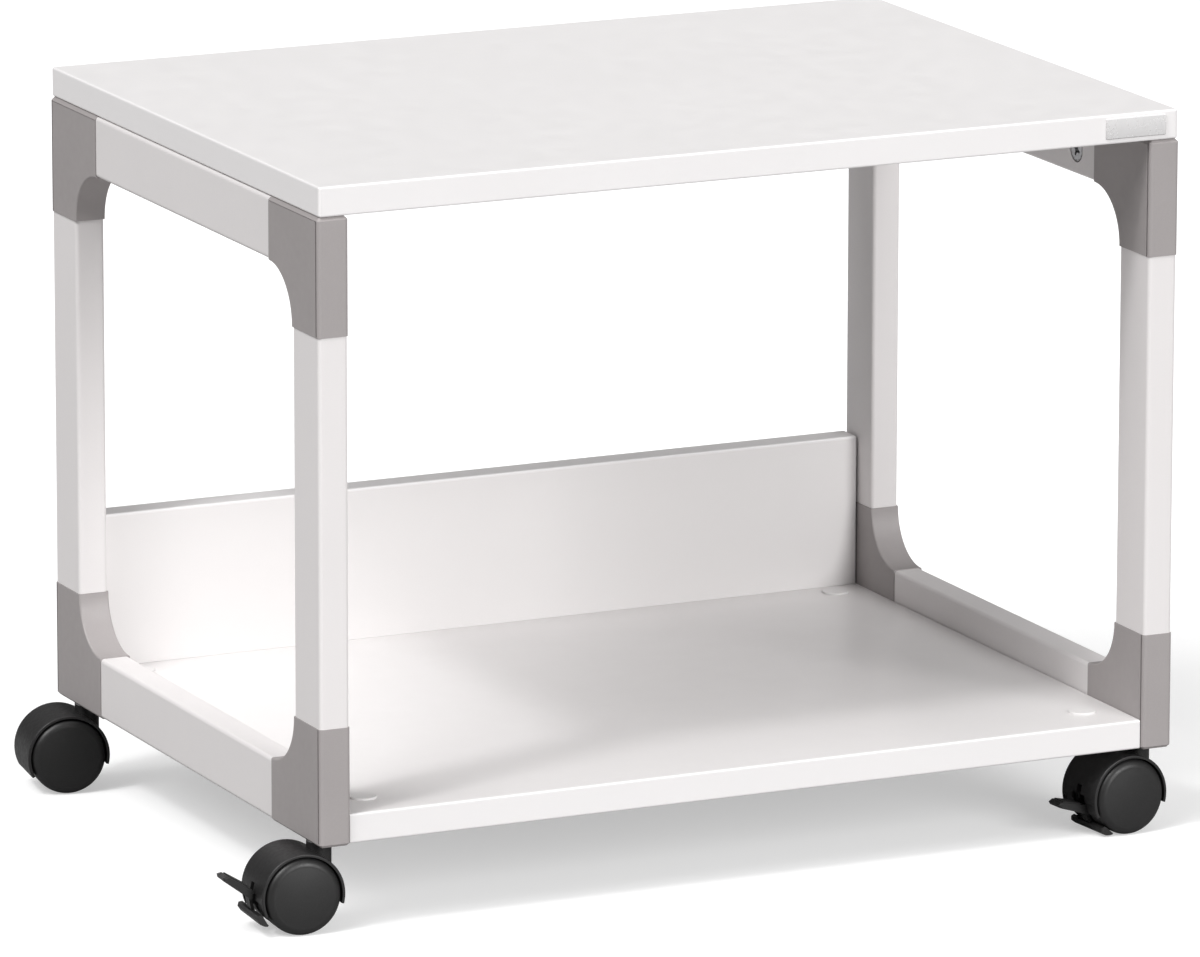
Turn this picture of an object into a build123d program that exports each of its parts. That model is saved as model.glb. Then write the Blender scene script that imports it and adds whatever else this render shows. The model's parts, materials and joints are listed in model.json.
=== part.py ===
from build123d import *
from collections import namedtuple
import os

# Mobile printer stand: a melamine worktop on two side frames of rectangular
# steel tube joined by plastic corner connectors, a lower shelf with an upright
# back panel, and four twin-wheel castors, the front two with brake levers.
#
# Frame of reference: +X to the right, +Y to the back, +Z up. The origin is the
# centre of the worktop's upper face, so the floor is at z = -overall_height.
#
# Throughout, sx is -1 on the left and 1 on the right, sy is -1 at the front and
# 1 at the rear, and tz is 1 for the top connectors and -1 for the bottom ones.

os.makedirs("parts", exist_ok=True)

# --------------------------------------------------------- shared dimensions
overall_width = 600.0        # X, across the corner connectors
overall_depth = 432.0        # Y, across the corner connectors
overall_height = 477.0       # Z, floor to worktop upper face
floor_z = -overall_height
outer_y = overall_depth / 2

# boards
board_thickness = 19.0
edge_band = 2.0              # thickness of the plastic edge band
edge_round = 1.3             # rounding of the band's long edges
joint_gap = 0.05             # clearance between strips of edge band
joint_over = 0.02            # a joint's cut is this much longer than the band is thick
top_z = -board_thickness     # underside of the worktop

# tubes and corner connectors
tube_x = 20.0                # tube section across the frame
tube_long = 40.0             # tube section in the plane of the side frame
tube_wall = 1.5
tube_round = 2.6
tube_bore_x = tube_x - 2 * tube_wall
tube_bore_long = tube_long - 2 * tube_wall
tube_inset = 0.5             # connectors stand proud of the tubes by this
connector_arm = 76.0         # arm length from the outer corner
connector_x = tube_x + 2 * tube_inset
connector_long = tube_long + 2 * tube_inset
arm_gap = 0.1                # butt gap between a tube's end and a connector
castor_height = 57.0         # floor to the underside of the lower connectors

frame_x = (overall_width - connector_x) / 2          # centre plane of a side frame
rail_inner = frame_x - tube_x / 2                    # inner face of the rails
connector_inner = frame_x - connector_x / 2          # inner cheek of the connectors
leg_y = outer_y - tube_inset - tube_long / 2
low_z = floor_z + castor_height                      # underside of lower connectors
rail_top_z = top_z - tube_inset - tube_long / 2
rail_low_z = low_z + tube_inset + tube_long / 2
leg_top = top_z - connector_arm - arm_gap
leg_bottom = low_z + connector_arm + arm_gap
rail_half = outer_y - connector_arm - arm_gap

# shelf and back panel
shelf_half = 278.6
shelf_front = -213.5
shelf_back = 214.5
shelf_z = floor_z + 57.6
shelf_top = shelf_z + board_thickness
shelf_mid = shelf_z + board_thickness / 2

panel_half = 278.4
panel_height = 103.0
panel_z = shelf_top + 0.1
panel_mid_y = shelf_back - board_thickness / 2

# cam locks and their connecting bolts
cam_r = 7.5
cam_length = 12.5
cam_clear = 0.1              # radial clearance of a cam in its pocket
cam_pocket = 13.9            # depth, deeper than the bolt bore's far side
cam_end_distance = 24.0      # cam axis from the board's end
shelf_cam_y = 179.0
rail_cam_y = 114.5
rail_cam_z = -43.0
panel_bolt_z = floor_z + 112.0
thread_r = 2.5
thread_hole_r = 2.55
thread_hole_depth = 10.0     # in the connectors
shank_r = 2.4
bolt_gap = 0.05              # between a bolt's collar and the face it seats on
board_bore_r = 4.0           # bolt bore in the shelf and back panel
rail_bore_r = 3.75           # bolt bore in the top rails and their spigots

# dowels between the shelf and the back panel
dowel_r = 4.0
dowel_hole_r = 4.05
dowel_spots = ((-150, panel_mid_y), (150, panel_mid_y))
shelf_dowel_depth = 12.0
panel_dowel_depth = 19.0

# castor stems
stem_r = 5.0
stem_y = outer_y - 26.5      # inboard of the leg's centre line
stem_bore_clear = 0.1
stem_bore_depth = 34.0

corners = {                  # name: sx, sy
    "front_left": (-1, -1),
    "front_right": (1, -1),
    "rear_left": (-1, 1),
    "rear_right": (1, 1),
}


def save(builder, name):
    """Label a finished piece and write its file."""
    part = builder.part
    part.label = name
    export_step(part, f"parts/{name}.step")


# ------------------------------------------------------------------- worktop
top_width = 598.0
top_depth = 431.6
top_corner_round = 2.0
top_core_width = top_width - 2 * edge_band
top_core_depth = top_depth - 2 * edge_band
top_bolt_hole_depth = 11.5

with BuildPart() as top_board:
    with BuildSketch(Plane.XY.offset(top_z)):
        Rectangle(top_core_width, top_core_depth)
    extrude(amount=board_thickness)
    # blind holes for the connecting bolts that come up out of the top rails
    with BuildSketch(Plane.XY.offset(top_z)):
        with GridLocations(2 * frame_x, 2 * rail_cam_y, 2, 2):
            Circle(thread_hole_r)
    extrude(amount=top_bolt_hole_depth, mode=Mode.SUBTRACT)
save(top_board, "top_board")

with BuildPart() as top_board_edge_bands:
    with BuildSketch(Plane.XY.offset(top_z)):
        RectangleRounded(top_width, top_depth, top_corner_round)
        Rectangle(top_core_width, top_core_depth, mode=Mode.SUBTRACT)
    extrude(amount=board_thickness)
    for end in (-1, 0):
        ring = top_board_edge_bands.faces().sort_by(Axis.Z)[end]
        fillet(ring.outer_wire().edges(), edge_round)
    # butt joints that part the ring into four strips
    with BuildSketch(Plane.XY.offset(top_z)):
        with GridLocations(top_core_width - joint_gap, top_depth - edge_band, 2, 2):
            Rectangle(joint_gap, edge_band + joint_over)
    extrude(amount=board_thickness, mode=Mode.SUBTRACT)
save(top_board_edge_bands, "top_board_edge_bands")

# blank name plate on the worktop's front edge
plate_width = 43.0
plate_height = 13.3
plate_thickness = 1.2
plate_round = 0.8
plate_chamfer = 0.5
plate_x = 268.5
plate_z = -9.0

with BuildPart() as name_plate:
    with BuildSketch(Plane.XZ.offset(top_depth / 2)):
        with Locations((plate_x, plate_z)):
            RectangleRounded(plate_width, plate_height, plate_round)
    extrude(amount=plate_thickness)
    chamfer(name_plate.faces().sort_by(Axis.Y)[0].edges(), plate_chamfer)
save(name_plate, "name_plate")


# --------------------------------------------------------------- side frames
cam_access_r = cam_r + 1.1
cut_over = 1.0               # cuts through a tube wall run past it by this


def tube_section():
    """Draw the hollow tube section in the sketch that calls this."""
    RectangleRounded(tube_x, tube_long, tube_round)
    RectangleRounded(
        tube_bore_x, tube_bore_long, tube_round - tube_wall, mode=Mode.SUBTRACT
    )


for corner, (sx, sy) in corners.items():
    with BuildPart() as leg:
        with BuildSketch(Plane.XY.offset(leg_bottom)):
            with Locations((sx * frame_x, sy * leg_y)):
                tube_section()
        extrude(amount=leg_top - leg_bottom)
    save(leg, f"leg_{corner}")

for side, sx in (("left", -1), ("right", 1)):
    with BuildPart() as bottom_rail:
        with BuildSketch(Plane.XZ):
            with Locations((sx * frame_x, rail_low_z)):
                tube_section()
        extrude(amount=rail_half, both=True)
    save(bottom_rail, f"bottom_rail_{side}")

    with BuildPart() as top_rail:
        with BuildSketch(Plane.XZ):
            with Locations((sx * frame_x, rail_top_z)):
                tube_section()
        extrude(amount=rail_half, both=True)
        # access holes for the cam locks, in the inner wall only
        with BuildSketch(Plane.YZ.offset(sx * (rail_inner - cut_over))):
            with Locations((-rail_cam_y, rail_cam_z), (rail_cam_y, rail_cam_z)):
                Circle(cam_access_r)
        extrude(amount=sx * (tube_wall + 2 * cut_over), mode=Mode.SUBTRACT)
        # clearance holes for the bolts, in the upper wall only
        with BuildSketch(Plane.XY.offset(top_z)):
            with Locations((sx * frame_x, -rail_cam_y), (sx * frame_x, rail_cam_y)):
                Circle(rail_bore_r)
        extrude(amount=-(tube_inset + tube_wall + cut_over), mode=Mode.SUBTRACT)
    save(top_rail, f"top_rail_{side}")


# --------------------------------------------------- plastic corner connectors
# Every connector has the same L shape: two arms that continue the tubes and a
# concave quarter round between them.
arc_r = connector_arm - connector_long
cos_45 = 0.70711
upright_round = 2.6
top_chamfer = 2.4
bottom_chamfer = 1.8
curve_round = 1.2

spigot_length = 28.0
rail_spigot_top = 42.0       # the top connectors reach past the cam locks
spigot_clear = 0.2
spigot_x = tube_bore_x - 2 * spigot_clear
spigot_long = tube_bore_long - 2 * spigot_clear
spigot_round = 1.2
spigot_chamfer = 1.0
spigot_wall = 2.5
hollow_x = spigot_x - 2 * spigot_wall
hollow_long = spigot_long - 2 * spigot_wall
hollow_depth = spigot_length - 3.0
cam_bore_depth = 14.0        # from the rail's inner face
bolt_bore_length = 30.0      # up from the cam's axis, out through the top

seam_inset = 2.9             # upright seam's centre from the outer face
seam_width = 1.3
seam_depth = 1.4
seam_stop = top_chamfer      # the upright seam ends this far from the corner
seam_short = 0.01            # trimmed from the upright seam's length
top_seam_drop = 0.5          # top seam's centre below the chamfer
top_seam_width = 0.5
top_seam_depth = 0.4


def make_connector(sx, sy, tz):
    corner_z = top_z if tz > 0 else low_z
    rail_z = rail_top_z if tz > 0 else rail_low_z
    arm_y = sy * (outer_y - connector_arm)           # end of the rail arm
    arm_z = corner_z - tz * connector_arm            # end of the leg arm
    leg_in = sy * (outer_y - connector_long)
    rail_in = corner_z - tz * connector_long
    with BuildPart() as connector:
        with BuildSketch(Plane.YZ.offset(sx * frame_x - connector_x / 2)):
            with BuildLine():
                Polyline(
                    (leg_in, arm_z),
                    (sy * outer_y, arm_z),
                    (sy * outer_y, corner_z),
                    (arm_y, corner_z),
                    (arm_y, rail_in),
                )
                ThreePointArc(
                    (arm_y, rail_in),
                    (arm_y + sy * arc_r * cos_45, arm_z + tz * arc_r * cos_45),
                    (leg_in, arm_z),
                )
            make_face()
        extrude(amount=connector_x)
        # upright outer edges are rounded, the horizontal ones chamfered
        upright = (
            connector.edges()
            .filter_by(Axis.Z)
            .filter_by(lambda e: abs(abs(e.center().Y) - outer_y) < 0.01)
        )
        fillet(upright, upright_round)
        rim = (
            connector.faces()
            .sort_by(Axis.Z)[-1 if tz > 0 else 0]
            .outer_wire()
            .edges()
            .filter_by(lambda e: abs(e.center().Y - arm_y) > 0.01)
        )
        chamfer(rim, top_chamfer if tz > 0 else bottom_chamfer)
        curve = connector.edges().filter_by(
            lambda e: e.geom_type == GeomType.CIRCLE and e.length > 30
        )
        fillet(curve, curve_round)

        # spigots that slide into the tube ends; the long ones on top carry
        # the cam locks, the others are hollow
        with BuildSketch(Plane.XZ.offset(-arm_y)):
            with Locations((sx * frame_x, rail_z)):
                RectangleRounded(spigot_x, spigot_long, spigot_round)
        extrude(amount=sy * (rail_spigot_top if tz > 0 else spigot_length))
        with BuildSketch(Plane.XY.offset(arm_z)):
            with Locations((sx * frame_x, sy * leg_y)):
                RectangleRounded(spigot_x, spigot_long, spigot_round)
        extrude(amount=-tz * spigot_length)
        rail_ends = connector.faces().filter_by(Plane.XZ).sort_by(Axis.Y)
        chamfer(rail_ends[0 if sy > 0 else -1].edges(), spigot_chamfer)
        leg_ends = connector.faces().filter_by(Plane.XY).sort_by(Axis.Z)
        chamfer(leg_ends[0 if tz > 0 else -1].edges(), spigot_chamfer)
        with BuildSketch(Plane.XY.offset(arm_z - tz * spigot_length)):
            with Locations((sx * frame_x, sy * leg_y)):
                Rectangle(hollow_x, hollow_long)
        extrude(amount=tz * hollow_depth, mode=Mode.SUBTRACT)
        if tz > 0:
            # cross bore for the cam and an upright bore for its bolt
            with BuildSketch(Plane.YZ.offset(sx * rail_inner)):
                with Locations((sy * rail_cam_y, rail_cam_z)):
                    Circle(cam_r + cam_clear)
            extrude(amount=sx * cam_bore_depth, mode=Mode.SUBTRACT)
            with BuildSketch(Plane.XY.offset(rail_cam_z)):
                with Locations((sx * frame_x, sy * rail_cam_y)):
                    Circle(rail_bore_r)
            extrude(amount=bolt_bore_length, mode=Mode.SUBTRACT)
        else:
            with BuildSketch(Plane.XZ.offset(-(arm_y - sy * spigot_length))):
                with Locations((sx * frame_x, rail_low_z)):
                    Rectangle(hollow_x, hollow_long)
            extrude(amount=-sy * hollow_depth, mode=Mode.SUBTRACT)

        # fine seam line on both cheeks, just in from the upright outer edge
        for cheek in (-1, 1):
            cheek_plane = Plane.YZ.offset(sx * frame_x + cheek * connector_x / 2)
            seam_z = (corner_z + arm_z) / 2 - tz * seam_stop / 2
            with BuildSketch(cheek_plane):
                with Locations((sy * (outer_y - seam_inset), seam_z)):
                    Rectangle(seam_width, connector_arm - seam_stop - seam_short)
            extrude(amount=-cheek * seam_depth, mode=Mode.SUBTRACT)
            if tz > 0:
                # and a finer one just below the top chamfer
                top_seam_length = connector_arm - seam_inset
                top_seam_y = sy * (outer_y - seam_inset - top_seam_length / 2)
                with BuildSketch(cheek_plane):
                    with Locations((top_seam_y, corner_z - top_chamfer - top_seam_drop)):
                        Rectangle(top_seam_length, top_seam_width)
                extrude(amount=-cheek * top_seam_depth, mode=Mode.SUBTRACT)
        if tz < 0:
            # socket for the castor stem
            with BuildSketch(Plane.XY.offset(low_z)):
                with Locations((sx * frame_x, sy * stem_y)):
                    Circle(stem_r + stem_bore_clear)
            extrude(amount=stem_bore_depth, mode=Mode.SUBTRACT)
            # threaded hole for the shelf's connecting bolt
            with BuildSketch(Plane.YZ.offset(sx * connector_inner)):
                with Locations((sy * shelf_cam_y, shelf_mid)):
                    Circle(thread_hole_r)
            extrude(amount=sx * thread_hole_depth, mode=Mode.SUBTRACT)
            if sy > 0:
                # threaded hole for the back panel's connecting bolt
                with BuildSketch(Plane.YZ.offset(sx * connector_inner)):
                    with Locations((panel_mid_y, panel_bolt_z)):
                        Circle(thread_hole_r)
                extrude(amount=sx * thread_hole_depth, mode=Mode.SUBTRACT)
    return connector


for level, tz in (("top", 1), ("bottom", -1)):
    for corner, (sx, sy) in corners.items():
        save(make_connector(sx, sy, tz), f"{level}_connector_{corner}")


# ------------------------------------- cam fittings of the shelf and back panel
# Each set of cams sits in one face of its board, and the bolts run out of the
# board's ends along X into the bottom connectors.
CamSet = namedtuple(
    "CamSet",
    [
        "plane",       # base plane parallel to the board's face
        "axis",        # axis that points out of the face
        "outward",     # 1 if the plane's normal points out of the face, else -1
        "face",        # the face's coordinate along the axis
        "cam_x",       # cam axis from the middle
        "cam_spots",   # cam places in the plane
        "bolt_spots",  # bolt places (y, z)
    ],
)

shelf_cam_x = shelf_half - cam_end_distance
shelf_cams = CamSet(
    plane=Plane.XY,
    axis=Axis.Z,
    outward=1,
    face=shelf_top,
    cam_x=shelf_cam_x,
    cam_spots=[
        (sx * shelf_cam_x, sy * shelf_cam_y) for sx in (-1, 1) for sy in (-1, 1)
    ],
    bolt_spots=[(-shelf_cam_y, shelf_mid), (shelf_cam_y, shelf_mid)],
)
panel_cam_x = panel_half - cam_end_distance
panel_cams = CamSet(
    plane=Plane.XZ,
    axis=Axis.Y,
    outward=-1,
    face=shelf_back,
    cam_x=panel_cam_x,
    cam_spots=[(-panel_cam_x, panel_bolt_z), (panel_cam_x, panel_bolt_z)],
    bolt_spots=[(panel_mid_y, panel_bolt_z)],
)

cam_sink = 0.6               # cam's face below the board's face
cross_length = 8.0           # cross recess in the cam's face
cross_width = 2.0
cross_centre_r = 2.2
cross_depth = 3.2
throat_r = 3.6               # bore in the cam that takes the bolt's head
throat_past = 2.6            # throat starts this far beyond the cam's axis
throat_length = cam_r + 4.0

cap_gap = 0.02
cap_r = 9.0
cap_thickness = 1.3
cap_round = 0.8
cap_stub_r = 2.1
cap_stub_length = 3.2


def make_cam_locks(cams):
    """Eccentric drums that lie under the cover caps and grip the bolts' heads."""
    cam_face = cams.plane.offset(cams.outward * (cams.face - cam_sink))
    with BuildPart() as locks:
        with BuildSketch(cam_face):
            with Locations(*cams.cam_spots):
                Circle(cam_r)
        extrude(amount=-cams.outward * cam_length)
        with BuildSketch(cam_face):
            with Locations(*cams.cam_spots):
                Rectangle(cross_length, cross_width)
                Rectangle(cross_width, cross_length)
                Circle(cross_centre_r)
        extrude(amount=-cams.outward * cross_depth, mode=Mode.SUBTRACT)
        for sx in (-1, 1):
            with BuildSketch(Plane.YZ.offset(sx * (cams.cam_x - throat_past))):
                with Locations(*cams.bolt_spots):
                    Circle(throat_r)
            extrude(amount=sx * throat_length, mode=Mode.SUBTRACT)
    return locks


def make_cam_bolts(cams):
    """Thread in the connector, collar at its face, shank and head in the cam."""
    collar_x = connector_inner - bolt_gap
    profile = [  # distance from the middle, radius
        (288.6, 0),
        (288.6, thread_r),
        (collar_x, thread_r),
        (collar_x, 3.7),
        (276.5, 3.7),
        (276.5, shank_r),
        (258.0, shank_r),
        (257.0, 3.4),
        (cams.cam_x - 0.2, 3.4),
        (cams.cam_x - 1.2, shank_r),
        (cams.cam_x - 1.2, 0),
    ]
    with BuildPart() as bolts:
        for sx in (-1, 1):
            for y, z in cams.bolt_spots:
                with BuildSketch(Plane.XZ.offset(-y)):
                    with BuildLine():
                        Polyline(*[(sx * x, z + r) for x, r in profile], close=True)
                    make_face()
                revolve(axis=Axis((0, y, z), (1, 0, 0)))
    return bolts


def make_cam_caps(cams):
    """Round cover caps whose stubs press into the cams' recesses."""
    cap_base = cams.plane.offset(cams.outward * (cams.face + cap_gap))
    with BuildPart() as caps:
        with BuildSketch(cap_base):
            with Locations(*cams.cam_spots):
                Circle(cap_r)
        extrude(amount=cams.outward * cap_thickness)
        outer_faces = caps.faces().filter_by(cams.plane).group_by(cams.axis)[-1]
        fillet(outer_faces.edges(), cap_round)
        with BuildSketch(cap_base):
            with Locations(*cams.cam_spots):
                Circle(cap_stub_r)
        extrude(amount=-cams.outward * cap_stub_length)
    return caps


for board, cams in (("shelf", shelf_cams), ("back_panel", panel_cams)):
    save(make_cam_locks(cams), f"{board}_cam_locks")
    save(make_cam_bolts(cams), f"{board}_cam_bolts")
    save(make_cam_caps(cams), f"{board}_cam_caps")


# ------------------------------------------------------------------ the shelf
shelf_core_depth = shelf_back - shelf_front - 2 * edge_band
shelf_core_mid = (shelf_front + shelf_back) / 2

with BuildPart() as shelf_board:
    with BuildSketch(Plane.XY.offset(shelf_z)):
        with Locations((0, shelf_core_mid)):
            Rectangle(2 * shelf_half, shelf_core_depth)
    extrude(amount=board_thickness)
    # cam pockets, open at the top
    with BuildSketch(Plane.XY.offset(shelf_top)):
        with Locations(*shelf_cams.cam_spots):
            Circle(cam_r + cam_clear)
    extrude(amount=-cam_pocket, mode=Mode.SUBTRACT)
    # bolt bores from the ends into the pockets
    for sx in (-1, 1):
        with BuildSketch(Plane.YZ.offset(sx * shelf_half)):
            with Locations(*shelf_cams.bolt_spots):
                Circle(board_bore_r)
        extrude(amount=-sx * cam_end_distance, mode=Mode.SUBTRACT)
    # dowel holes under the back panel
    with BuildSketch(Plane.XY.offset(shelf_top)):
        with Locations(*dowel_spots):
            Circle(dowel_hole_r)
    extrude(amount=-shelf_dowel_depth, mode=Mode.SUBTRACT)
save(shelf_board, "shelf_board")

with BuildPart() as shelf_edge_bands:
    for sy, band_y in ((-1, shelf_front), (1, shelf_back)):
        with BuildSketch(Plane.XY.offset(shelf_z)):
            with Locations((0, band_y - sy * edge_band / 2)):
                Rectangle(2 * shelf_half, edge_band)
        extrude(amount=board_thickness)
    outer = shelf_edge_bands.edges().filter_by(Axis.X).filter_by(
        lambda e: min(abs(e.center().Y - shelf_front), abs(e.center().Y - shelf_back))
        < 0.01
    )
    fillet(outer, edge_round)
save(shelf_edge_bands, "shelf_edge_bands")


# ------------------------------------------------------------------ back panel
panel_top = panel_z + panel_height
panel_core_top = panel_top - edge_band
panel_core_half = panel_half - edge_band
panel_corner_round = 1.8

with BuildPart() as back_panel:
    with BuildSketch(Plane.XY.offset(panel_z)):
        with Locations((0, panel_mid_y)):
            Rectangle(2 * panel_core_half, board_thickness)
    extrude(amount=panel_height - edge_band)
    # cam pockets, open at the rear
    with BuildSketch(Plane.XZ.offset(-shelf_back)):
        with Locations(*panel_cams.cam_spots):
            Circle(cam_r + cam_clear)
    extrude(amount=cam_pocket, mode=Mode.SUBTRACT)
    # bolt bores from the ends into the pockets
    for sx in (-1, 1):
        with BuildSketch(Plane.YZ.offset(sx * panel_half)):
            with Locations(*panel_cams.bolt_spots):
                Circle(board_bore_r)
        extrude(amount=-sx * cam_end_distance, mode=Mode.SUBTRACT)
    # dowel holes in the lower edge
    with BuildSketch(Plane.XY.offset(panel_z)):
        with Locations(*dowel_spots):
            Circle(dowel_hole_r)
    extrude(amount=panel_dowel_depth, mode=Mode.SUBTRACT)
save(back_panel, "back_panel")

with BuildPart() as back_panel_edge_bands:
    # one strip along the top and one up each end
    with BuildSketch(Plane.XZ.offset(-shelf_back)):
        with BuildLine():
            Polyline(
                (-panel_half, panel_z),
                (-panel_half, panel_top),
                (panel_half, panel_top),
                (panel_half, panel_z),
                (panel_core_half, panel_z),
                (panel_core_half, panel_core_top),
                (-panel_core_half, panel_core_top),
                (-panel_core_half, panel_z),
                close=True,
            )
        make_face()
    extrude(amount=board_thickness)
    fillet(
        back_panel_edge_bands.edges()
        .filter_by(Axis.Y)
        .filter_by(lambda e: e.center().Z > panel_top - 0.1),
        panel_corner_round,
    )
    fillet(
        back_panel_edge_bands.faces().sort_by(Axis.Z)[-1].edges().filter_by(Axis.X),
        edge_round,
    )
    for sx in (-1, 1):
        # butt joint between the top strip and the end strip
        with BuildSketch(Plane.XZ.offset(-shelf_back)):
            with Locations(
                (sx * (panel_half - edge_band / 2), panel_core_top - joint_gap / 2)
            ):
                Rectangle(edge_band + joint_over, joint_gap)
        extrude(amount=board_thickness, mode=Mode.SUBTRACT)
        # bolt bore through the end strip
        with BuildSketch(Plane.YZ.offset(sx * panel_half)):
            with Locations(*panel_cams.bolt_spots):
                Circle(board_bore_r)
        extrude(amount=-sx * edge_band, mode=Mode.SUBTRACT)
save(back_panel_edge_bands, "back_panel_edge_bands")

dowel_sink = 11.5            # dowel's foot below the shelf's upper face
dowel_length = 30.0
dowel_chamfer = 0.8

with BuildPart() as back_panel_dowels:
    with BuildSketch(Plane.XY.offset(shelf_top - dowel_sink)):
        with Locations(*dowel_spots):
            Circle(dowel_r)
    extrude(amount=dowel_length)
    chamfer(back_panel_dowels.edges().filter_by(GeomType.CIRCLE), dowel_chamfer)
save(back_panel_dowels, "back_panel_dowels")


# -------------------------------------------- worktop fixings in the top rails
rail_cam_sink = 0.2          # cam's face behind the rail's inner face
rail_cross_length = 9.0
rail_cross_width = 2.2
rail_cross_turn = 25.0       # degrees
rail_cross_centre_r = 2.4
rail_cross_depth = 3.4
notch_count = 12             # notches round the rim of the cam's face
notch_length = 1.8           # along the radius
notch_width = 1.1
notch_depth = 0.7
rail_throat_r = 3.5
rail_throat_drop = 2.6       # throat starts this far below the cam's axis
rail_throat_length = 12.0

with BuildPart() as rail_cam_locks:
    for sx in (-1, 1):
        cam_face = Plane.YZ.offset(sx * (rail_inner + rail_cam_sink))
        with BuildSketch(cam_face):
            with Locations((-rail_cam_y, rail_cam_z), (rail_cam_y, rail_cam_z)):
                Circle(cam_r)
        extrude(amount=sx * cam_length)
        # cross recess and a notched rim on the face
        with BuildSketch(cam_face):
            with Locations((-rail_cam_y, rail_cam_z), (rail_cam_y, rail_cam_z)):
                Rectangle(rail_cross_length, rail_cross_width, rotation=rail_cross_turn)
                Rectangle(rail_cross_width, rail_cross_length, rotation=rail_cross_turn)
                Circle(rail_cross_centre_r)
        extrude(amount=sx * rail_cross_depth, mode=Mode.SUBTRACT)
        with BuildSketch(cam_face):
            for sy in (-1, 1):
                with Locations((sy * rail_cam_y, rail_cam_z)):
                    with PolarLocations(cam_r, notch_count):
                        Rectangle(notch_length, notch_width)
        extrude(amount=sx * notch_depth, mode=Mode.SUBTRACT)
    # throat for the bolt head
    with BuildSketch(Plane.XY.offset(rail_cam_z - rail_throat_drop)):
        with GridLocations(2 * frame_x, 2 * rail_cam_y, 2, 2):
            Circle(rail_throat_r)
    extrude(amount=rail_throat_length, mode=Mode.SUBTRACT)
save(rail_cam_locks, "rail_cam_locks")

rail_bolt_profile = [  # radius, z
    (0, top_z + 11.0),
    (thread_r, top_z + 11.0),
    (thread_r, top_z - bolt_gap),
    (3.6, top_z - bolt_gap),
    (3.6, top_z - 2.4),
    (shank_r, top_z - 2.4),
    (shank_r, rail_cam_z + 3.2),
    (3.3, rail_cam_z + 2.2),
    (3.3, rail_cam_z - 0.4),
    (2.2, rail_cam_z - 1.5),
    (0, rail_cam_z - 1.5),
]

with BuildPart() as rail_cam_bolts:
    for sx in (-1, 1):
        for sy in (-1, 1):
            with BuildSketch(Plane.XZ.offset(-sy * rail_cam_y)):
                with BuildLine():
                    Polyline(
                        *[(sx * frame_x + r, z) for r, z in rail_bolt_profile],
                        close=True,
                    )
                make_face()
            revolve(axis=Axis((sx * frame_x, sy * rail_cam_y, 0), (0, 0, 1)))
save(rail_cam_bolts, "rail_cam_bolts")


# -------------------------------------------------------------------- castors
# Castor pieces are drawn at the origin with the stem axis on Z, the floor at
# z = 0 and the axle `trail` behind the stem towards -X, then set at each corner.
trail = 17.0                 # stem axis to axle axis
wheel_r = 25.0
axle_x = -trail
axle_z = wheel_r
axle_r = 3.0
axle_half = 17.0
axle_chamfer = 0.6
running = 0.05               # radial clearance of running fits
neck_r = 8.0
neck_top = 55.2
journal_r = 3.5
well_start = 5.1             # the wheel wells begin this far from mid width

# brake lever sizes that the braked hood is cut to suit
pivot_x = axle_x + 1.0
pivot_z = axle_z + 12.0
pin_r = 1.5
lever_arm_half = 2.4         # half width of the lever's arm
strap_half = 3.8             # half width of the strap that carries the shoe
paddle_half = 7.0

brake_travel = 19.0          # degrees between released and pressed
castors = {                  # corner: swivel angle, brake lever angle or None
    "front_left": (-4.0, 0.0),
    "front_right": (4.5, brake_travel),
    "rear_left": (-8.5, None),
    "rear_right": (-3.0, None),
}


def ray(angle, radius):
    """Point in the XZ plane at an angle and radius from the axle."""
    direction = Vector(1, 0).rotate(Axis.Z, angle)
    return (axle_x + radius * direction.X, axle_z + radius * direction.Y)


def from_pivot(dx, dz):
    return (pivot_x + dx, pivot_z + dz)


# stems and their grip rings
stem_foot = 38.0
stem_shoulder = castor_height - 1.6          # underside of the stem's collar
collar_top = castor_height - 0.05
groove_bottom = castor_height + 17.0
groove_top = castor_height + 20.0
groove_r = stem_r - 1.0
stem_tip = castor_height + 32.5
stem_profile = [  # radius, height
    (0, stem_foot),
    (journal_r - 0.6, stem_foot),
    (journal_r, stem_foot + 0.6),
    (journal_r, stem_shoulder),
    (neck_r, stem_shoulder),
    (neck_r, collar_top),
    (stem_r, collar_top),
    (stem_r, groove_bottom),
    (groove_r, groove_bottom),
    (groove_r, groove_top),
    (stem_r, groove_top),
    (stem_r, stem_tip - 1.5),
    (stem_r - 1.5, stem_tip),
    (0, stem_tip),
]
grip_ring_r = stem_r + 0.06
grip_ring_bore_r = groove_r + 0.05
grip_ring_gap = 0.2          # to each side of the groove

with BuildPart() as stem_shape:
    with BuildSketch(Plane.XZ):
        with BuildLine():
            Polyline(*stem_profile, close=True)
        make_face()
    revolve(axis=Axis.Z)

with BuildPart() as grip_ring_shape:
    # split grip ring that sits in the stem's groove
    with BuildSketch(Plane.XY.offset(groove_bottom + grip_ring_gap)):
        Circle(grip_ring_r)
        Circle(grip_ring_bore_r, mode=Mode.SUBTRACT)
        with Locations((stem_r, 0)):
            Rectangle(4, 1.6, mode=Mode.SUBTRACT)
    extrude(amount=groove_top - groove_bottom - 2 * grip_ring_gap)

for name, shape in (
    ("castor_stems", stem_shape),
    ("castor_stem_rings", grip_ring_shape),
):
    with BuildPart() as stem_pieces:
        for sx, sy in corners.values():
            with Locations(Location((sx * frame_x, sy * stem_y, floor_z))):
                add(shape.part)
    save(stem_pieces, name)

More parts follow.
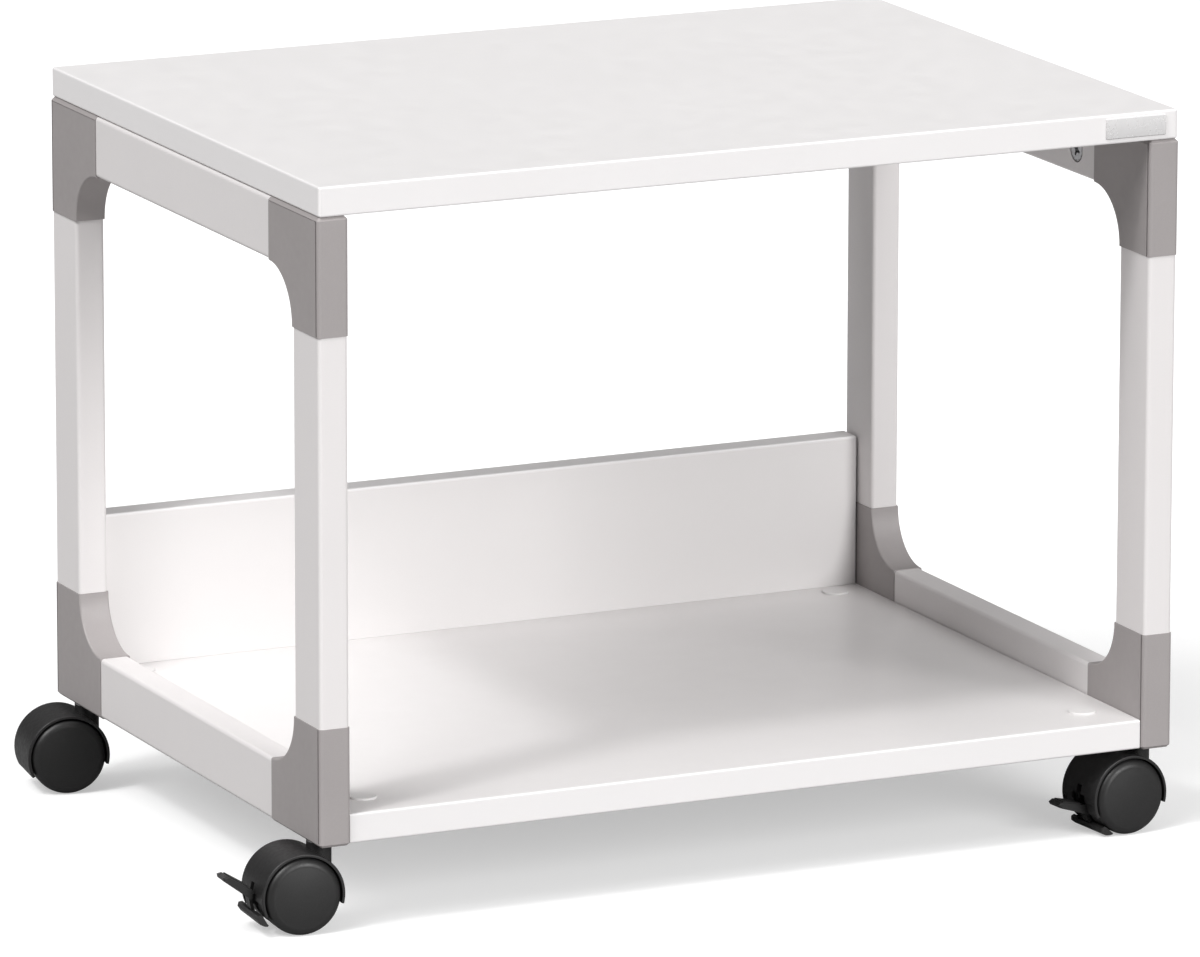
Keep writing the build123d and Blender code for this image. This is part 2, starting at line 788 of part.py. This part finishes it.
# hoods
hood_r = 27.6
hood_inner_r = 25.8
hood_half = 20.0             # half width across the hood's rims
hub_r = 8.5
hood_end_front = -14.0       # degrees, hood edge on the stem side
hood_end_back = 207.0        # degrees, hood edge on the trailing side
braked_end_back = 204.0      # the same where a brake shoe sits below it
hood_cut_r = 60.0            # reach of the cut that opens the hood's underside
neck_bottom = 32.0
stem_bore_bottom = 37.0
web_over = 0.5               # bores in the web run past its faces by this
axle_fit = 0.02              # radial clearance of the axle in the web
rim_round = 0.8
mouth_round = 0.6

# cuts in the braked hood: angles in degrees, radii from the axle
brake_cut_r = 45.0           # outer reach of the cuts
recess_r = 26.6
recess_start = 186.0
recess_end = 214.0
recess_rim = 2.2             # width left at each rim beside the recess
strap_slot_end = 235.0
strap_slot_inner_r = 22.0
strap_slot_outer_r = 40.0
relief_start = 177.0         # top of the relief round the lever's root
relief_bend = 196.0
relief_r = 25.2
side_clear = 0.6             # beside the strap and the paddle
arm_clear = 0.2              # beside the lever's arm


def make_hood(braked):
    end_back = braked_end_back if braked else hood_end_back
    with BuildPart() as hood:
        with BuildSketch(Plane.XZ):
            with Locations((axle_x, axle_z)):
                Circle(hood_r)
            with BuildLine():
                Polyline(
                    (axle_x, axle_z),
                    ray(hood_end_front, hood_cut_r),
                    ray(-60, hood_cut_r),
                    ray(-90, hood_cut_r),
                    ray(-120, hood_cut_r),
                    ray(end_back, hood_cut_r),
                    close=True,
                )
            make_face(mode=Mode.SUBTRACT)
            with Locations((axle_x, axle_z)):
                Circle(hub_r)
        extrude(amount=hood_half, both=True)
        # swivel neck round the stem
        with BuildSketch(Plane.XY.offset(neck_bottom)):
            Circle(neck_r)
        extrude(amount=neck_top - neck_bottom)
        # wheel wells on both sides of the central web
        for side in (-1, 1):
            with BuildSketch(Plane.XZ.offset(side * well_start)):
                with Locations((axle_x, axle_z)):
                    Circle(hood_inner_r)
            extrude(amount=side * (hood_half + 1 - well_start), mode=Mode.SUBTRACT)
        if braked:
            # shallow recess between the rims behind the brake strap
            with BuildSketch(Plane.XZ):
                with BuildLine():
                    RadiusArc(
                        ray(recess_start, recess_r), ray(recess_end, recess_r), -recess_r
                    )
                    Line(ray(recess_end, recess_r), ray(recess_end, brake_cut_r))
                    Line(ray(recess_end, brake_cut_r), ray(recess_start, brake_cut_r))
                    Line(ray(recess_start, brake_cut_r), ray(recess_start, recess_r))
                make_face()
            extrude(amount=hood_half - recess_rim, both=True, mode=Mode.SUBTRACT)
            # slot on the trailing side that the strap swings into
            with BuildSketch(Plane.XZ):
                with BuildLine():
                    Polyline(
                        ray(recess_start, strap_slot_inner_r),
                        ray(recess_start, strap_slot_outer_r),
                        ray(strap_slot_end, strap_slot_outer_r),
                        ray(strap_slot_end, strap_slot_inner_r),
                        close=True,
                    )
                make_face()
            extrude(amount=strap_half + side_clear, both=True, mode=Mode.SUBTRACT)
            # wider relief in the wall itself, where the paddle's root swings past
            with BuildSketch(Plane.XZ):
                with BuildLine():
                    Polyline(
                        ray(relief_start, relief_r),
                        ray(relief_start, brake_cut_r),
                        ray(recess_end, brake_cut_r),
                        ray(recess_end, relief_r),
                        ray(relief_bend, relief_r),
                        close=True,
                    )
                make_face()
            extrude(amount=paddle_half + side_clear, both=True, mode=Mode.SUBTRACT)
            # slot through the web for the lever's arm
            with BuildSketch(Plane.XZ):
                with BuildLine():
                    Polyline(
                        from_pivot(5, -5),
                        from_pivot(5, 5.5),
                        from_pivot(-6, 5.5),
                        ray(165, 28.0),
                        ray(170, brake_cut_r),
                        ray(250, brake_cut_r),
                        ray(250, 4.2),
                        close=True,
                    )
                make_face()
            extrude(amount=lever_arm_half + arm_clear, both=True, mode=Mode.SUBTRACT)
            # bore for the brake's pivot pin
            with BuildSketch(Plane.XZ):
                with Locations((pivot_x, pivot_z)):
                    Circle(pin_r + running)
            extrude(amount=well_start + web_over, both=True, mode=Mode.SUBTRACT)
        # axle bore and stem bore
        with BuildSketch(Plane.XZ):
            with Locations((axle_x, axle_z)):
                Circle(axle_r + axle_fit)
        extrude(amount=well_start + web_over, both=True, mode=Mode.SUBTRACT)
        with BuildSketch(Plane.XY.offset(neck_top)):
            Circle(journal_r + running)
        extrude(amount=-(neck_top - stem_bore_bottom), mode=Mode.SUBTRACT)
        # soften the rims of the hood and the mouth of the neck
        rims = hood.edges().filter_by(
            lambda e: e.geom_type == GeomType.CIRCLE
            and abs(abs(e.center().Y) - hood_half) < 0.01
            and abs(e.radius - hood_r) < 0.01
        )
        fillet(rims, rim_round)
        mouth = hood.edges().filter_by(
            lambda e: e.geom_type == GeomType.CIRCLE
            and abs(e.center().Z - neck_top) < 0.01
            and abs(e.radius - neck_r) < 0.01
        )
        fillet(mouth, mouth_round)
    return hood


# The wheel's outer face: a quarter-round shoulder, then a shallow spherical dome
# that ends in a small flat at the centre. Each `_out` is a distance from the
# castor's mid width.
shoulder_r = 5.6
shoulder_out = 16.5
dome_edge_r = wheel_r - shoulder_r
dome_edge_out = shoulder_out + shoulder_r
flat_r = 2.5
flat_out = 23.4
dome_centre = (flat_r**2 + flat_out**2 - dome_edge_r**2 - dome_edge_out**2) / (
    2 * (flat_out - dome_edge_out)
)
dome_mid_r = 11.0            # a point on the dome between its edge and the flat
dome_mid_out = dome_centre + (
    flat_r**2 + (flat_out - dome_centre) ** 2 - dome_mid_r**2
) ** 0.5
wheel_bore_r = axle_r + running
wheel_bore_end = 17.4
wheel_inner_profile = [  # radius, distance from mid width
    (0, wheel_bore_end),
    (wheel_bore_r, wheel_bore_end),
    (wheel_bore_r, 5.4),
    (7.5, 5.4),
    (7.5, 19.4),
    (21.0, 18.0),
    (21.0, 5.6),
    (24.4, 5.6),
    (wheel_r, 6.2),
    (wheel_r, shoulder_out),
]


def make_wheel(side):
    def point(radius, out):
        return (axle_x + radius, side * out)

    with BuildPart() as wheel:
        with BuildSketch(Plane.XY.offset(axle_z)):
            with BuildLine():
                Polyline(*[point(radius, out) for radius, out in wheel_inner_profile])
                ThreePointArc(
                    point(wheel_r, shoulder_out),
                    point(
                        dome_edge_r + shoulder_r * cos_45,
                        shoulder_out + shoulder_r * cos_45,
                    ),
                    point(dome_edge_r, dome_edge_out),
                )
                ThreePointArc(
                    point(dome_edge_r, dome_edge_out),
                    point(dome_mid_r, dome_mid_out),
                    point(flat_r, flat_out),
                )
                Line(point(flat_r, flat_out), point(0, flat_out))
                Line(point(0, flat_out), point(0, wheel_bore_end))
            make_face()
        revolve(axis=Axis((axle_x, 0, axle_z), (0, 1, 0)))
    return wheel


with BuildPart() as axle_shape:
    with BuildSketch(Plane.XZ):
        with Locations((axle_x, axle_z)):
            Circle(axle_r)
    extrude(amount=axle_half, both=True)
    chamfer(axle_shape.edges().filter_by(GeomType.CIRCLE), axle_chamfer)

# brake lever
lever_boss_r = 3.8
strap_inner_r = 28.5
strap_outer_r = 30.6
shoe_r = 28.2                # radius of the shoe's concave face
shoe_half = 18.6             # half width of the brake shoe
paddle_profile = [  # x and z from the axle
    (-29.4, 4.2),
    (-45.6, 14.2),
    (-48.6, 13.6),
    (-48.2, 11.4),
    (-32.2, -0.6),
    (-30.6, -2.0),
    (-29.4, -1.4),
]
tip_chamfer = 1.0
rib_length = 14.5
rib_width = 1.7
rib_sink = 0.3               # ribs start this far below the paddle's slope
rib_height = 1.1
rib_shift = 0.6              # along the slope from the plane's origin
rib_rows = (-4.8, -1.6, 1.6, 4.8)

with BuildPart() as lever_shape:
    # arm from the pivot out between the wheels
    with BuildSketch(Plane.XZ):
        with BuildLine():
            Polyline(
                from_pivot(1.2, 3.2),
                from_pivot(-3.0, 2.0),
                ray(181, 28.8),
                ray(193, 28.8),
                from_pivot(1.2, -3.2),
                close=True,
            )
        make_face()
        with Locations((pivot_x, pivot_z)):
            Circle(lever_boss_r)
    extrude(amount=lever_arm_half, both=True)
    # strap that follows the outside of the hood
    with BuildSketch(Plane.XZ):
        with BuildLine():
            RadiusArc(ray(177, strap_inner_r), ray(211, strap_inner_r), -strap_inner_r)
            Line(ray(211, strap_inner_r), ray(210, strap_outer_r))
            RadiusArc(ray(210, strap_outer_r), ray(177, strap_outer_r), strap_outer_r)
            Line(ray(177, strap_outer_r), ray(177, strap_inner_r))
        make_face()
    extrude(amount=strap_half, both=True)
    # brake shoe across both treads
    with BuildSketch(Plane.XZ):
        with BuildLine():
            RadiusArc(ray(205, shoe_r), ray(216, shoe_r), -shoe_r)
            Polyline(
                ray(216, shoe_r),
                ray(216, 29.2),
                ray(213.5, 30.6),
                ray(208.5, 32.4),
                ray(202, 33.0),
                ray(198, 31.4),
                ray(199, 28.9),
                ray(205, shoe_r),
            )
        make_face()
    extrude(amount=shoe_half, both=True)
    # paddle, rising outwards
    with BuildSketch(Plane.XZ):
        with BuildLine():
            Polyline(*[(axle_x + x, axle_z + z) for x, z in paddle_profile], close=True)
        make_face()
    extrude(amount=paddle_half, both=True)
    tips = lever_shape.edges().filter_by(
        lambda e: e.center().X < axle_x - 44
        and abs(abs(e.center().Y) - paddle_half) < 0.01
    )
    chamfer(tips, tip_chamfer)
    # grip ribs along the paddle
    slope = Plane(
        origin=(axle_x - 38.0, 0, axle_z + 9.52),
        x_dir=(-17.2, 0, 10.6),
        z_dir=(10.6, 0, 17.2),
    )
    with BuildSketch(slope.offset(-rib_sink)):
        with Locations(*[(rib_shift, row) for row in rib_rows]):
            SlotOverall(rib_length, rib_width)
    extrude(amount=rib_height)
    # pivot bore
    with BuildSketch(Plane.XZ):
        with Locations((pivot_x, pivot_z)):
            Circle(pin_r + running)
    extrude(amount=4, both=True, mode=Mode.SUBTRACT)

with BuildPart() as pin_shape:
    with BuildSketch(Plane.XZ):
        with Locations((pivot_x, pivot_z)):
            Circle(pin_r)
    extrude(amount=well_start - 0.1, both=True)

plain_hood = make_hood(braked=False)
braked_hood = make_hood(braked=True)
wheel_a = make_wheel(-1)
wheel_b = make_wheel(1)


def save_placed(part, place, name):
    """Set a castor piece at its corner and save it."""
    with BuildPart() as placed:
        with Locations(place):
            add(part)
    save(placed, name)


for corner, (swivel, lever_angle) in castors.items():
    sx, sy = corners[corner]
    place = Location((sx * frame_x, sy * stem_y, floor_z), (0, 0, swivel))
    hood_shape = plain_hood if lever_angle is None else braked_hood
    save_placed(hood_shape.part, place, f"castor_{corner}_hood")
    save_placed(axle_shape.part, place, f"castor_{corner}_axle")
    save_placed(wheel_a.part, place, f"castor_{corner}_wheel_a")
    save_placed(wheel_b.part, place, f"castor_{corner}_wheel_b")

    if lever_angle is not None:
        # pressing the paddle turns the lever about its pin, down and inwards
        pin_axis = Axis((pivot_x, 0, pivot_z), (0, -1, 0))
        turned = lever_shape.part.rotate(pin_axis, lever_angle)
        save_placed(turned, place, f"brake_lever_{corner}")
        save_placed(pin_shape.part, place, f"brake_pivot_pin_{corner}")
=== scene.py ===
"""A light grey unit of boards and painted tubes with a worktop, on black castors.

Metres, +Z up. The floor lies at FLOOR_Z, below the origin, and the camera looks from -Y,
a little from -X, and from above.
"""

import json
import math

import bpy
from mathutils import Matrix, Vector


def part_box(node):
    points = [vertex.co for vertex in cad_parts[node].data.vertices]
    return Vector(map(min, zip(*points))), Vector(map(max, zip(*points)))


FLOOR_Z = -0.477
FLOOR_REACH = 60.0  # half the side of the floor
WHITE = (1.0, 1.0, 1.0, 1.0)

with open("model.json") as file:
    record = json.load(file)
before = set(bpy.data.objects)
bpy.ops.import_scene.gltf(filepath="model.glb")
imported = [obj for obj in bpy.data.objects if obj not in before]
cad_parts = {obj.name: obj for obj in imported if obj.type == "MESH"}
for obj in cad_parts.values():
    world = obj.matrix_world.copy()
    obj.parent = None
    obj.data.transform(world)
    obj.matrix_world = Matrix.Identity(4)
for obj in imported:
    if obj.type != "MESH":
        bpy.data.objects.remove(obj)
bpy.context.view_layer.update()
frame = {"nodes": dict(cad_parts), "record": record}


# ------------------------------------------------------------------ node helpers
def set_inputs(tree, node, inputs):
    """Link each input that is given a socket, and set the others to their value."""
    for key, value in inputs.items():
        if isinstance(value, bpy.types.NodeSocket):
            tree.links.new(value, node.inputs[key])
        else:
            node.inputs[key].default_value = value


def add_node(tree, kind, inputs=None, **settings):
    """Settings come before inputs, as an operation decides which inputs are in use."""
    node = tree.nodes.new("ShaderNode" + kind)
    for key, value in settings.items():
        setattr(node, key, value)
    set_inputs(tree, node, inputs or {})
    return node


def new_material(name):
    material = bpy.data.materials.new(name)
    material.use_nodes = True
    tree = material.node_tree
    tree.nodes.clear()
    output = add_node(tree, "OutputMaterial")
    bsdf = add_node(tree, "BsdfPrincipled")
    set_inputs(tree, output, {"Surface": bsdf.outputs["BSDF"]})
    return material, tree, bsdf, output


def object_coords(tree, stretch=(1, 1, 1)):
    """Object coordinates; a factor below 1 draws the texture out along that axis."""
    source = add_node(tree, "TexCoord").outputs["Object"]
    return add_node(tree, "Mapping", {"Vector": source, "Scale": stretch}).outputs["Vector"]


def noise(tree, coords, scale, detail=3.0):
    inputs = {"Vector": coords, "Scale": scale, "Detail": detail, "Roughness": 0.55}
    return add_node(tree, "TexNoise", inputs).outputs["Fac"]


def remap(tree, value, low, high, from_low=0.3, from_high=0.7):
    """Spread a value over low..high; by default it is noise, mostly in 0.3..0.7."""
    inputs = {
        "Value": value,
        "From Min": from_low,
        "From Max": from_high,
        "To Min": low,
        "To Max": high,
    }
    return add_node(tree, "MapRange", inputs).outputs["Result"]


def multiply(tree, first, second):
    node = add_node(tree, "Math", {0: first, 1: second}, operation="MULTIPLY")
    return node.outputs["Value"]


def tint(tree, base, factor):
    """Base colour times a scalar field."""
    node = add_node(tree, "VectorMath", {0: base, "Scale": factor}, operation="SCALE")
    return node.outputs["Vector"]


def bump_normal(tree, height, strength, depth):
    inputs = {"Height": height, "Strength": strength, "Distance": depth}
    return add_node(tree, "Bump", inputs).outputs["Normal"]


def height_z(tree, coords):
    return add_node(tree, "SeparateXYZ", {0: coords}).outputs["Z"]


def split_by_ray(tree, lighting, seen):
    """One shader where the camera sees it directly, another for all other rays."""
    is_camera = add_node(tree, "LightPath").outputs["Is Camera Ray"]
    mix = add_node(tree, "MixShader", {"Fac": is_camera, 1: lighting, 2: seen})
    return mix.outputs["Shader"]


# ------------------------------------------------------------------ finishes
# base          linear colour
# rough         mean roughness, varied by rough_spread either way
# spread        relative change of colour by the broad noise
# fine_spread   relative change of colour by the fine grain
# broad, fine   scales of the two noises
# bump, depth   strength of the grain's relief, and its height in metres
LOOKS = {
    # light grey melamine: nearly even, faint pearl texture, satin
    "worktop_laminate": dict(
        base=(0.750, 0.734, 0.732), rough=0.38, spread=0.008, fine_spread=0.006,
        rough_spread=0.04, broad=6, fine=900, bump=0.10, depth=0.00004,
    ),
    "board_laminate": dict(
        base=(0.750, 0.730, 0.726), rough=0.36, spread=0.008, fine_spread=0.006,
        rough_spread=0.04, broad=6, fine=900, bump=0.10, depth=0.00004,
    ),
    "edge_band": dict(
        base=(0.790, 0.772, 0.772), rough=0.34, spread=0.008, fine_spread=0.004,
        rough_spread=0.03, broad=12, fine=1200, bump=0.06, depth=0.00003,
    ),
    # powder coat: fine orange peel
    "tube_paint": dict(
        base=(0.730, 0.704, 0.702), rough=0.42, spread=0.010, fine_spread=0.010,
        rough_spread=0.05, broad=8, fine=1100, bump=0.16, depth=0.00005,
    ),
    # spark-eroded mid grey plastic
    "connector_plastic": dict(
        base=(0.330, 0.306, 0.304), rough=0.50, spread=0.020, fine_spread=0.030,
        rough_spread=0.06, broad=20, fine=1900, bump=0.30, depth=0.00006,
    ),
    # light grey plastic
    "cap_plastic": dict(
        base=(0.74, 0.725, 0.72), rough=0.40, spread=0.010, fine_spread=0.010,
        rough_spread=0.04, broad=30, fine=1500, bump=0.12, depth=0.00004,
    ),
    # wood with its grain drawn out along Z
    "dowel_wood": dict(
        base=(0.62, 0.45, 0.27), rough=0.62, spread=0.10, fine_spread=0.08,
        rough_spread=0.06, broad=60, fine=700, bump=0.35, depth=0.00010,
        stretch=(1, 1, 0.12),
    ),
    # bare metals
    "cam_zinc": dict(
        base=(0.60, 0.60, 0.61), rough=0.40, spread=0.05, fine_spread=0.05,
        rough_spread=0.08, broad=80, fine=1400, bump=0.30, depth=0.00006,
        metallic=1.0,
    ),
    "fastener_steel": dict(
        base=(0.62, 0.62, 0.63), rough=0.30, spread=0.04, fine_spread=0.04,
        rough_spread=0.07, broad=80, fine=1200, bump=0.25, depth=0.00005,
        metallic=1.0,
    ),
    "ring_steel": dict(
        base=(0.45, 0.45, 0.46), rough=0.34, spread=0.05, fine_spread=0.05,
        rough_spread=0.07, broad=90, fine=1300, bump=0.25, depth=0.00005,
        metallic=1.0,
    ),
    # black nylon with a fine grain; the hood's is glass-filled
    "castor_hood_nylon": dict(
        base=(0.0165, 0.0160, 0.0162), rough=0.44, spread=0.10, fine_spread=0.22,
        rough_spread=0.07, broad=40, fine=1700, bump=0.42, depth=0.00009,
        specular=0.42,
    ),
    "castor_wheel_nylon": dict(
        base=(0.0140, 0.0137, 0.0138), rough=0.43, spread=0.10, fine_spread=0.16,
        rough_spread=0.05, broad=40, fine=1300, bump=0.30, depth=0.00008,
        specular=0.45,
    ),
    "brake_lever_nylon": dict(
        base=(0.0170, 0.0165, 0.0165), rough=0.38, spread=0.10, fine_spread=0.15,
        rough_spread=0.06, broad=60, fine=1500, bump=0.30, depth=0.00007,
        specular=0.45,
    ),
}
MOTTLE_RATIO = 9  # scale of the roughness noise over that of the broad noise


def finish_material(
    name, base, rough, spread, fine_spread, rough_spread, broad, fine, bump, depth,
    metallic=0.0, specular=0.5, stretch=(1, 1, 1),
):
    material, tree, bsdf, _ = new_material(name)
    coords = object_coords(tree, stretch)
    wide = noise(tree, coords, broad, detail=2.0)
    grain = noise(tree, coords, fine)
    factor = multiply(
        tree,
        remap(tree, wide, 1 - spread, 1 + spread),
        remap(tree, grain, 1 - fine_spread, 1 + fine_spread),
    )
    color = tint(tree, base, factor)
    mottle = noise(tree, coords, broad * MOTTLE_RATIO, detail=4.0)
    set_inputs(tree, bsdf, {
        "Base Color": color,
        "Roughness": remap(tree, mottle, rough - rough_spread, rough + rough_spread),
        "Normal": bump_normal(tree, grain, bump, depth),
        "Metallic": metallic,
        "Specular IOR Level": specular,
        "Coat Roughness": 0.1,
    })
    return material


def plate_material():
    """Blank name plate: silvered face, clear coated; its base colour carries a painted
    highlight, lighter towards the top.
    """
    material, tree, bsdf, _ = new_material("plate_metal")
    coords = object_coords(tree)
    bottom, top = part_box("name_plate")
    # painted highlight: base colour lighter towards the top of the plate, darker towards the
    # bottom
    painted_highlight = remap(
        tree, height_z(tree, coords), low=0.86, high=1.06, from_low=bottom.z, from_high=top.z
    )
    brushed = noise(tree, object_coords(tree, stretch=(0.02, 1, 1)), scale=900.0, detail=2.0)
    factor = multiply(tree, painted_highlight, remap(tree, brushed, low=0.992, high=1.008))
    color = tint(tree, (0.75, 0.74, 0.74), factor)
    mottle = noise(tree, coords, scale=140.0)
    set_inputs(tree, bsdf, {
        "Base Color": color,
        "Roughness": remap(tree, mottle, low=0.22, high=0.32),
        "Normal": bump_normal(tree, brushed, strength=0.04, depth=0.00002),
        "Metallic": 0.30,
        "Coat Weight": 0.3,
        "Coat Roughness": 0.08,
    })
    return material


def apply_materials():
    materials = {name: finish_material(name, **look) for name, look in LOOKS.items()}
    materials["plate_metal"] = plate_material()
    for part in frame["record"]["subparts"]:
        slots = frame["nodes"][part["node"]].data.materials
        slots.clear()
        slots.append(materials[part["material_slot"]])


apply_materials()


# ------------------------------------------------------------------ floor
def floor_material():
    """Pale paper; seen directly it is a little lifted, as bright studio paper."""
    material, tree, bsdf, output = new_material("floor_paper")
    coords = object_coords(tree)
    cloud = remap(tree, noise(tree, coords, scale=1.5), low=0.995, high=1.005)
    color = tint(tree, (0.34, 0.34, 0.34), cloud)
    mottle = noise(tree, coords, scale=12.0)
    set_inputs(tree, bsdf, {
        "Base Color": color,
        "Roughness": remap(tree, mottle, low=0.72, high=0.80),
        "Specular IOR Level": 0.2,
    })
    paper = add_node(tree, "BsdfDiffuse", {"Color": (0.62, 0.62, 0.62, 1.0)})
    lift = add_node(tree, "Emission", {"Color": WHITE, "Strength": 0.45})
    seen = add_node(tree, "AddShader", {0: paper.outputs["BSDF"], 1: lift.outputs["Emission"]})
    surface = split_by_ray(tree, lighting=bsdf.outputs["BSDF"], seen=seen.outputs["Shader"])
    set_inputs(tree, output, {"Surface": surface})
    return material


def make_floor():
    mesh = bpy.data.meshes.new("floor")
    corners = [(-1, -1), (1, -1), (1, 1), (-1, 1)]
    points = [(x * FLOOR_REACH, y * FLOOR_REACH, FLOOR_Z) for x, y in corners]
    mesh.from_pydata(points, [], [(0, 1, 2, 3)])
    floor = bpy.data.objects.new("floor", mesh)
    bpy.context.scene.collection.objects.link(floor)
    mesh.materials.append(floor_material())
    return floor


make_floor()


# ------------------------------------------------------------------ light
LAMP_DISTANCE = 5.0  # from the origin


def far_softbox(name, toward, level, spread):
    """A large, distant softbox in the direction toward, spread degrees wide.

    level is what it adds to a white face turned to it.
    """
    data = bpy.data.lights.new(name, "SUN")
    data.energy = level * math.pi
    data.angle = math.radians(spread)
    lamp = bpy.data.objects.new(name, data)
    bpy.context.scene.collection.objects.link(lamp)
    direction = Vector(toward).normalized()
    lamp.location = direction * LAMP_DISTANCE
    lamp.rotation_mode = "QUATERNION"
    lamp.rotation_quaternion = (-direction).to_track_quat("-Z", "Y")


def studio_sky(horizon, zenith):
    """Soft light from above, weaker towards the horizon; white where seen directly."""
    world = bpy.data.worlds.new("studio")
    bpy.context.scene.world = world
    world.use_nodes = True
    tree = world.node_tree
    tree.nodes.clear()
    output = add_node(tree, "OutputWorld")
    height = height_z(tree, add_node(tree, "TexCoord").outputs["Generated"])
    strength = remap(tree, height, horizon, zenith, from_low=0.0, from_high=1.0)
    sky = add_node(tree, "Background", {"Color": WHITE, "Strength": strength})
    backdrop = add_node(tree, "Background", {"Color": WHITE, "Strength": 1.05})
    surface = split_by_ray(
        tree, lighting=sky.outputs["Background"], seen=backdrop.outputs["Background"]
    )
    set_inputs(tree, output, {"Surface": surface})


studio_sky(horizon=0.0, zenith=0.55)
far_softbox("key", toward=(-0.70, -0.25, 1.00), level=0.26, spread=7.0)
far_softbox("left", toward=(-0.585, -0.16, 0.795), level=0.65, spread=40.0)
far_softbox("front", toward=(0.24, -0.89, 0.36), level=0.69, spread=30.0)


# ------------------------------------------------------------------ camera
CAMERA_PLACE = (-2.81615, -5.96326, 1.28327)
CAMERA_YAW = math.radians(25.2301)  # from +Y towards +X
CAMERA_PITCH = math.radians(13.1567)  # below the horizontal
CAMERA_ROLL = math.radians(0.0916)  # turns the camera's right towards its up
SENSOR_WIDTH = 36.0  # mm
FOCAL_LENGTH = 313.0548  # mm


def make_camera():
    data = bpy.data.cameras.new("camera")
    data.sensor_fit = "HORIZONTAL"
    data.sensor_width = SENSOR_WIDTH
    data.lens = FOCAL_LENGTH
    data.clip_start = 0.1
    data.clip_end = 200.0
    camera = bpy.data.objects.new("camera", data)
    bpy.context.scene.collection.objects.link(camera)
    sin_yaw, cos_yaw = math.sin(CAMERA_YAW), math.cos(CAMERA_YAW)
    level = math.cos(CAMERA_PITCH)
    forward = Vector((sin_yaw * level, cos_yaw * level, -math.sin(CAMERA_PITCH)))
    right = Vector((cos_yaw, -sin_yaw, 0.0))
    up = right.cross(forward)
    sin_roll, cos_roll = math.sin(CAMERA_ROLL), math.cos(CAMERA_ROLL)
    rolled_right = cos_roll * right + sin_roll * up
    rolled_up = -sin_roll * right + cos_roll * up
    turn = Matrix((rolled_right, rolled_up, -forward)).transposed().to_4x4()
    camera.matrix_world = Matrix.Translation(CAMERA_PLACE) @ turn
    bpy.context.scene.camera = camera


make_camera()

view = bpy.context.scene.view_settings
view.view_transform = "Standard"
view.look = "None"
view.exposure = 0.0
view.gamma = 1.0
